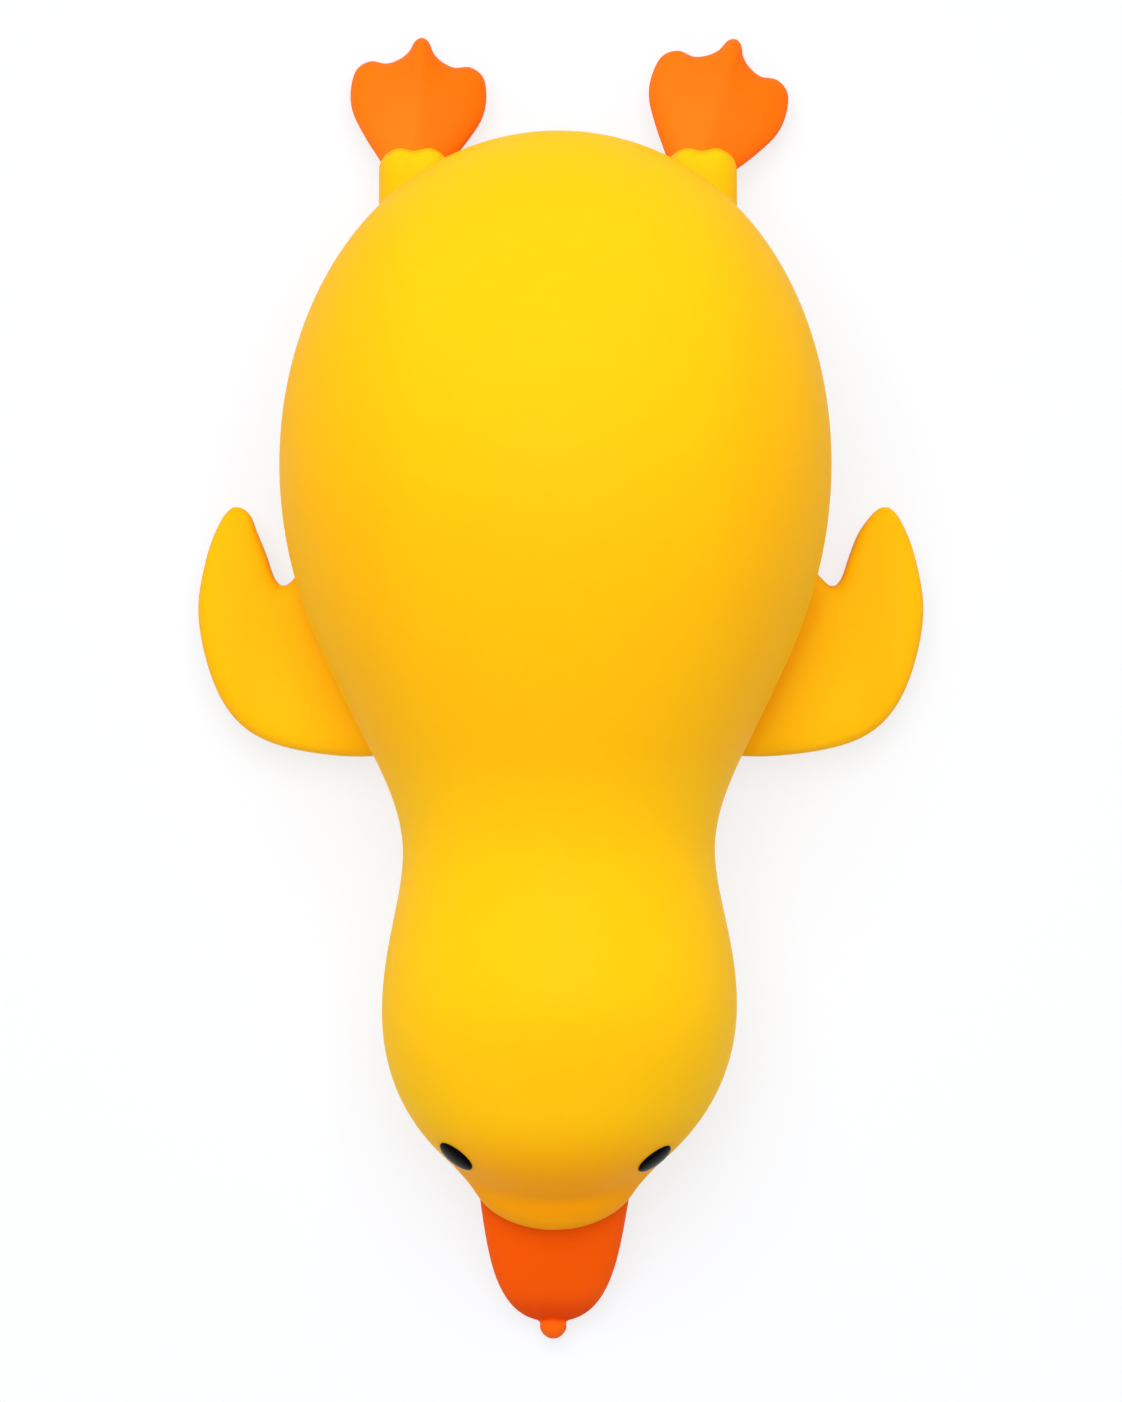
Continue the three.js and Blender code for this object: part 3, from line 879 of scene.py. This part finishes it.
@dataclass
class Foot:
    """A plump webbed foot with three toes.

    Attributes:
        side: Which side it is on.
        turn: How far it is turned about Z, in degrees.
        size: Its size in plan, where 1 gives the lengths below.
        middle_x: How far it lies from the middle.
        heel_at: Where it lies along Y.
        length: From the cuff to the tip of the middle toe.
        half_width: Half width.
        heel: How far the heel goes into the cuff.
        half_thickness: Half thickness.
        heights: Height of its middle at the heel and at the toes.
        waist_y: The point that its rings shrink to.
        spread: Angle between the toe ridges.
        middle_ridge: Height and width of the middle ridge.
        side_ridge: Height and width of the two others.
        roundness: Power that draws the rings in; less is fuller.
        ridge_shade_edges: Places across, from the middle ridge, where the painted shade starts and
            ends.
        ridge_shade_share: Share of the painted shade to the right of the middle ridge.
        toe_shade_share: Share of the painted shade at the toes, which leaves the heel lighter as a
            painted highlight.
    """

    side: Side
    turn: float
    size: float
    middle_x: float = 17.6
    heel_at: float = 65.6
    length: float = 14.5
    half_width: float = 8.35
    heel: float = 4.6
    half_thickness: float = 2.9
    heights: Pair = (6.4, 3.1)
    waist_y: float = 5.5
    spread: float = 0.62
    middle_ridge: Pair = (0.75, 0.12)
    side_ridge: Pair = (0.5, 0.26)
    roundness: float = 0.75
    ridge_shade_edges: Pair = (-0.5, 1.5)
    ridge_shade_share: float = 0.45
    toe_shade_share: float = 0.55

    def outline(self, count: int) -> Array:
        """The plan outline, as a smooth closed curve through its points.

        Args:
            count: Number of points wanted.

        Returns:
            The points in plan.
        """
        toes = [(0, 0), (0.09, 0.35), (0.19, 1.9), (0.33, 2.9), (0.5, 3.45), (0.74, 3.3), (0.93, 4.4)]
        sides = [(1, 7), (0.955, 9.6), (0.74, 12.8), (0.5, 15.6)]
        half = np.array(toes + sides) * (self.half_width, -1) + (0, self.length)
        half = np.vstack([half, [0.3 * self.half_width, -self.heel + 0.9], [0, -self.heel]])
        whole = np.vstack([half, half[-2:0:-1] * (-1, 1)]) * self.size
        return curve_through(whole, True, np.arange(count) / count)

    def surface(self, rings: int = 64, sides: int = 256) -> Surface:
        """The foot's skin: the outline drawn in to a point above and below, with toe ridges.

        Args:
            rings: Number of rings.
            sides: Number of points on each.

        Returns:
            The closed surface.
        """
        a = -np.pi / 2 + half_turn(rings)
        centre = np.array([0, self.waist_y])
        drawn_in = (np.cos(a) ** self.roundness)[:, None, None]
        plan = centre + (self.outline(sides)[None] - centre) * drawn_in
        share = np.clip((plan[..., 1] + self.heel) / (self.length + self.heel), 0, 1)
        middle = blend(self.heights, share)
        bearing = np.arctan2(plan[..., 0], plan[..., 1] + self.heel)
        ridges = 0.0
        for toe, (high, wide) in (
            (0, self.middle_ridge),
            (-self.spread, self.side_ridge),
            (self.spread, self.side_ridge),
        ):
            ridges = ridges + high * np.exp(-(((bearing - toe) / wide) ** 2))
        up = np.sin(a)[:, None]
        lift = np.where(up > 0, ridges * share * np.cos(a)[:, None], 0)
        z = middle + (self.half_thickness + lift) * up
        turn = math.radians(self.turn)
        x = plan[..., 0] * math.cos(turn) - plan[..., 1] * math.sin(turn)
        y = plan[..., 0] * math.sin(turn) + plan[..., 1] * math.cos(turn)
        at = np.array([self.side.value * self.middle_x, self.heel_at, 0])
        grid = np.stack([x, y, z], axis=-1) + at
        return Surface(grid, grid[0].mean(axis=0), grid[-1].mean(axis=0))

    def skin(self, shift: Array) -> SoftSkin:
        """The orange skin, with painted shade to the right of the middle ridge and painted shade that
        grows towards the toes, so the heel stands lighter as a painted highlight.

        Args:
            shift: The form's origin in the frame, in millimetres.

        Returns:
            The foot's own finish.
        """
        turn = math.radians(self.turn)
        across = np.array([math.cos(turn), math.sin(turn), 0])
        along = np.array([-math.sin(turn), math.cos(turn), 0])
        at = shift + (self.side.value * self.middle_x, self.heel_at, 0)
        fold = float(at @ across) * MM
        heel = float(at @ along) * MM
        start, end = (fold + edge * MM for edge in self.ridge_shade_edges)
        # Painted shade to the right of the middle ridge, and painted shade that grows towards the
        # toes.
        drifts = (
            Drift(tuple(across), start, end, self.ridge_shade_share, PAINTED_SHADE_ORANGE),
            Drift(tuple(along), heel, heel + self.length * MM, self.toe_shade_share, PAINTED_SHADE_ORANGE),
        )
        return replace(FOOT_ORANGE, name=f"orange_foot_skin_{self.side.word}", drifts=drifts)

    def build(self, shift: Array) -> Object:
        """Builds the foot's piece in its own skin."""
        material = self.skin(shift).material()
        return mesh_piece(f"foot_{self.side.word}_web", [self.surface()], shift, material)


@dataclass
class Beak:
    """The beak's blade, which slopes down, and the small nail on its tip.

    Attributes:
        ends_y: Places of the root and the tip.
        heights: Heights of the middle at the root and at the tip.
        arch: How far the middle rises above the straight line between them.
        half_widths: Half widths at the root and near the tip.
        half_thicknesses: Half thicknesses at the root and at the tip.
        nail: Half width, half length and half height of the nail.
        nail_y: Place of the nail.
        nail_taper: How much the nail narrows away from the beak.
        end_powers: Powers of the rounding of its end in plan; 2 and 2 make a true ellipse.
        fullness: Powers of the round sections, across and upwards; 1 is a true ellipse.
        skin_grid: Size of the grid for its one skin.
        skin_rounds: Rounds of smoothing of that skin.
    """

    ends_y: Pair = (-59.0, -77.9)
    heights: Pair = (13.3, 3.1)
    arch: float = 0.7
    half_widths: Pair = (9.6, 6.85)
    half_thicknesses: Pair = (3.0, 2.1)
    nail: Triple = (1.65, 1.35, 1.6)
    nail_y: float = -78.7
    nail_taper: float = 0.18
    end_powers: Pair = (4.8, 2.5)
    fullness: Pair = (0.85, 0.9)
    skin_grid: float = 0.22
    skin_rounds: int = 6

    def blade(self, rings: int = 150, sides: int = 160) -> Surface:
        """The blade: flattened rounds that narrow to a round end in plan.

        Args:
            rings: Number of rings.
            sides: Number of points on each.

        Returns:
            The closed surface.
        """
        t = np.sin(np.pi / 2 * np.arange(rings) / rings)
        y = blend(self.ends_y, t)
        end = (1 - t ** self.end_powers[0]) ** (1 / self.end_powers[1])
        width = blend(self.half_widths, t) * end
        thick = blend(self.half_thicknesses, t) * np.sqrt(1 - t**8)
        height = blend(self.heights, t) + self.arch * np.sin(np.pi * t)
        angle = full_turn(sides)
        x = stray(y)[:, None] + width[:, None] * signed_power(np.cos(angle), self.fullness[0])
        z = height[:, None] + thick[:, None] * signed_power(np.sin(angle), self.fullness[1])
        rings_at = np.stack([x, np.broadcast_to(y[:, None], x.shape), z], axis=-1)
        tip = np.array([float(stray(self.ends_y[1])), self.ends_y[1], self.heights[1]])
        return Surface(rings_at, rings_at[0].mean(axis=0), tip)

    def nail_bulb(self, rings: int = 40, sides: int = 64) -> Surface:
        """The nail, an ellipsoid whose rings run along Y and narrow away from the beak.

        Args:
            rings: Number of rings.
            sides: Number of points on each.

        Returns:
            The closed surface.
        """
        turn = half_turn(rings)[:, None]
        angle = full_turn(sides)[None, :]
        wide, long, high = self.nail
        centre = np.array([float(stray(self.nail_y)), self.nail_y, self.heights[1]])
        narrowing = 1 - self.nail_taper * np.cos(turn)
        x = wide * narrowing * np.sin(turn) * np.cos(angle)
        y = -long * np.cos(turn) + 0 * angle
        z = high * narrowing * np.sin(turn) * np.sin(angle)
        rings_at = np.stack([x, y, z], axis=-1) + centre
        return Surface(rings_at, centre - (0, long, 0), centre + (0, long, 0))

    def build(self, shift: Array, material: Material) -> Object:
        """Builds the beak as one skin with a small fillet round its nail.

        Args:
            shift: The form's origin in the frame, in millimetres.
            material: Its material.

        Returns:
            The beak's piece.
        """
        piece = mesh_piece("beak_blade", [self.blade(), self.nail_bulb()], shift, material)
        fuse(piece, self.skin_grid * MM, self.skin_rounds)
        return piece


@dataclass
class Eye:
    """A glossy black domed oval set in the skin.

    Attributes:
        side: Which side it is on.
        form: The form whose skin it sits in.
        place_y: Its place along the form's Y.
        lift: Its angle above the section's widest line, in degrees.
        radius: Half width of the dome.
        dome: How far the dome stands out.
        depth: How far it goes into the skin.
    """

    side: Side
    form: MainForm
    place_y: float
    lift: float
    radius: float = 2.4
    dome: float = 0.55
    depth: float = 1.1

    def surface(self, rings: int = 48, sides: int = 96) -> Surface:
        """The eye: half an ellipsoid outside the skin and half a deeper one inside it.

        Args:
            rings: Number of rings.
            sides: Number of points on each.

        Returns:
            The closed surface.
        """
        lift = math.radians(self.lift)
        angle = lift if self.side is Side.RIGHT else math.pi - lift
        seat, along, out = self.form.seat(self.place_y, angle)
        across = np.cross(out, along)
        turn = half_turn(rings)[:, None, None]
        round_it = full_turn(sides)[None, :, None]
        high = np.cos(turn) * np.where(np.cos(turn) > 0, self.dome, self.depth)
        flat = np.cos(round_it) * along + np.sin(round_it) * across
        rings_at = seat + self.radius * np.sin(turn) * flat + high * out
        return Surface(rings_at, seat + self.dome * out, seat - self.depth * out)

    def build(self, shift: Array, material: Material) -> Object:
        """Builds the eye's piece in a material."""
        return mesh_piece(f"eye_{self.side.word}_dome", [self.surface()], shift, material)


@dataclass
class Duck:
    """The whole duck, with its pieces in the CAD model's frame.

    Attributes:
        pieces: The pieces made so far.
        reaches: How far the left and the right wing reach.
        turns: How far the left and the right foot are turned, in degrees.
        sizes: Sizes in plan of the left and the right foot.
        eyes_y: Places of the left and the right eye along the form's Y.
        eye_lifts: Their angles above the section's widest line, in degrees.
        skin_grid: Size of the grid for the body's one skin, in millimetres.
        skin_rounds: Rounds of smoothing of that skin.
    """

    pieces: list[Object] = field(default_factory=list)
    reaches: Pair = (44.2, 44.9)
    turns: Pair = (-3.5, -16.5)
    sizes: Pair = (1.0, 1.03)
    eyes_y: Pair = (-56.65, -56.95)
    eye_lifts: Pair = (33.2, 31.0)
    skin_grid: float = 0.585
    skin_rounds: int = 3

    def shift(self) -> Array:
        """Where the form's origin lies in the frame, in millimetres.

        The frame's origin halves the span of the wings, and the nail's end gives the place along Y.

        Returns:
            The three coordinates.
        """
        beak = Beak()
        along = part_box("beak")[0][1] / MM - (beak.nail_y - beak.nail[1])
        return np.array([(self.reaches[0] - self.reaches[1]) / 2, along, 0])

    def add(self, piece: Object, node: str, slot: str) -> None:
        """Puts a piece in the place of a CAD node.

        Args:
            piece: The piece.
            node: Name of the node that it stands for.
            slot: Name of the record's material slot; not used.
        """
        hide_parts(node)
        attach(piece, "root")
        self.pieces.append(piece)
        LOG.info("%s stands for %s: %d faces", piece.name, node, len(piece.data.polygons))

    def body(self, form: MainForm, shift: Array, material: Material) -> Object:
        """The yellow moulding: main form, wings and legs as one skin.

        Args:
            form: The main form.
            shift: The form's origin in the frame, in millimetres.
            material: Its material.

        Returns:
            The body's piece.
        """
        surfaces = [form.surface()]
        surfaces += [Wing(side, reach).surface() for side, reach in zip(Side, self.reaches)]
        surfaces += [Leg(side).surface() for side in Side]
        piece = mesh_piece("body_skin", surfaces, shift, material)
        fuse(piece, self.skin_grid * MM, self.skin_rounds)
        return piece

    def build(self) -> None:
        form = MainForm()
        shift = self.shift()
        black = BLACK.material()
        self.add(self.body(form, shift, YELLOW.material()), "body", "yellow_skin")
        self.add(Beak().build(shift, BEAK_ORANGE.material()), "beak", "orange_skin")
        for side, turn, size in zip(Side, self.turns, self.sizes):
            foot = Foot(side, turn, size).build(shift)
            self.add(foot, f"foot_{side.word}", "orange_skin")
        for side, place_y, lift in zip(Side, self.eyes_y, self.eye_lifts):
            eye = Eye(side, form, place_y, lift).build(shift, black)
            self.add(eye, f"eye_{side.word}", "black_gloss")


# Floor, light and camera.


def background_rays(nodes: Nodes) -> NodeSocket:
    """Adds the nodes that tell the rays which show a background from those that carry light.

    Args:
        nodes: The nodes of a material or of the world.

    Returns:
        The socket that is 1 for a ray from the camera, a mirror or glass, and 0 for any other.
    """
    path = nodes.add("LightPath", {})
    found = path["Is Camera Ray"]
    for kind in ("Is Glossy Ray", "Is Transmission Ray"):
        found = nodes.add("Math", {0: found, 1: path[kind]}, operation="MAXIMUM")["Value"]
    return found


@dataclass
class Studio:
    """A white floor, soft lamps and the photo's camera, in metres.

    Attributes:
        floor_size: Width of the floor.
        floor_colour: Linear colour of the floor.
        floor_roughness: Roughness of the floor.
        glow_share: Share of the floor's white that comes without light on it.
        camera_height: How high the camera is above the floor.
        shift: The form's origin in the frame, in millimetres.
        camera_at: Where the camera is above the form, in millimetres.
        seen_height: How much of the floor the picture shows from top to bottom.
        sky: Strength of the light from above.
        horizon: Strength of the light from low down all round.
        sky_from: Sine of the height above which the light is the sky's.
        key: Power of the large lamp above and behind the duck.
        key_at: Where the lamp hangs.
        key_size: Width of the lamp.
        key_aim: The point that the lamp points at.
        sensor: Height of the camera's sensor, in millimetres.
        sight: How far the camera sees.
    """

    shift: Array
    floor_size: float = 6.0
    floor_colour: Colour = (0.78, 0.842, 0.94, 1)
    floor_roughness: float = 0.9
    glow_share: float = 0.74
    camera_height: float = 1.15
    camera_at: Pair = (0.37, -1.54)
    seen_height: float = 0.17302
    sky: float = 0.435
    horizon: float = 0.88
    sky_from: float = 0.5
    key: float = 17.7
    key_at: Triple = (-0.08, 0.43, 1.3)
    key_size: float = 1.1
    key_aim: Triple = (0, 0, 0.02)
    sensor: float = 36
    sight: float = 20

    def floor(self) -> None:
        """Lays the white floor, which shows only part of each shadow."""
        bpy.ops.mesh.primitive_plane_add(size=self.floor_size)
        plane = bpy.context.object
        plane.name = "floor"
        material, nodes, shader = new_material("white_floor")
        nodes.set(shader, {
            "Base Color": self.floor_colour,
            "Roughness": self.floor_roughness,
            "Specular IOR Level": 0.0,
        })
        glow = nodes.add("Emission", {"Strength": 1.0})["Emission"]
        rays = {0: background_rays(nodes), 1: self.glow_share}
        share = nodes.add("Math", rays, operation="MULTIPLY")["Value"]
        both = {0: share, 1: shader.outputs["BSDF"], 2: glow}
        surface = {"Surface": nodes.add("MixShader", both)["Shader"]}
        nodes.set(nodes.tree.nodes["Material Output"], surface)
        plane.data.materials.append(material)

    def lamp(self) -> None:
        """Hangs the square lamp, which points at the duck."""
        light = bpy.data.lights.new("key", "AREA")
        light.size = self.key_size
        light.energy = self.key
        lamp = bpy.data.objects.new("key", light)
        lamp.location = self.key_at
        aim = Vector(self.key_aim) - Vector(self.key_at)
        lamp.rotation_euler = aim.to_track_quat("-Z", "Y").to_euler()
        bpy.context.scene.collection.objects.link(lamp)

    def world(self) -> None:
        """Lights the scene from all round, more from the sides, and shows white to the camera."""
        world = bpy.data.worlds.new("sky")
        world.use_nodes = True
        nodes = Nodes(world.node_tree)
        place = nodes.add("TexCoord", {})["Generated"]
        height = nodes.add("SeparateXYZ", {"Vector": place})["Z"]
        limits = {"From Max": self.sky_from, "To Min": self.horizon, "To Max": self.sky}
        light = nodes.add("MapRange", {"Value": height, **limits})["Result"]
        shown = {"Factor": background_rays(nodes), "A": light, "B": 1.0}
        strength = nodes.add("Mix", shown)["Result"]
        look = {"Color": (1, 1, 1, 1), "Strength": strength}
        nodes.set(nodes.tree.nodes["Background"], look)
        bpy.context.scene.world = world

    def camera(self) -> None:
        """Sets the camera straight above the duck, with the feet at the top of the picture."""
        data = bpy.data.cameras.new("camera")
        data.sensor_fit = "VERTICAL"
        data.sensor_height = self.sensor
        data.lens = data.sensor_height * self.camera_height / self.seen_height
        data.clip_end = self.sight
        camera = bpy.data.objects.new("camera", data)
        x, y = (np.array(self.camera_at) + self.shift[:2]) * MM
        camera.location = (x, y, self.camera_height)
        bpy.context.scene.collection.objects.link(camera)
        bpy.context.scene.camera = camera

    def build(self) -> None:
        """Builds the floor, the light and the camera."""
        self.floor()
        self.world()
        self.lamp()
        self.camera()
        bpy.context.scene.view_settings.view_transform = "Standard"


def main() -> None:
    """Builds the duck and its studio."""
    logging.basicConfig(level=logging.INFO, format="%(name)s: %(message)s")
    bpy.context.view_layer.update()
    duck = Duck()
    duck.build()
    Studio(duck.shift()).build()


if __name__ == "__main__":
    main()
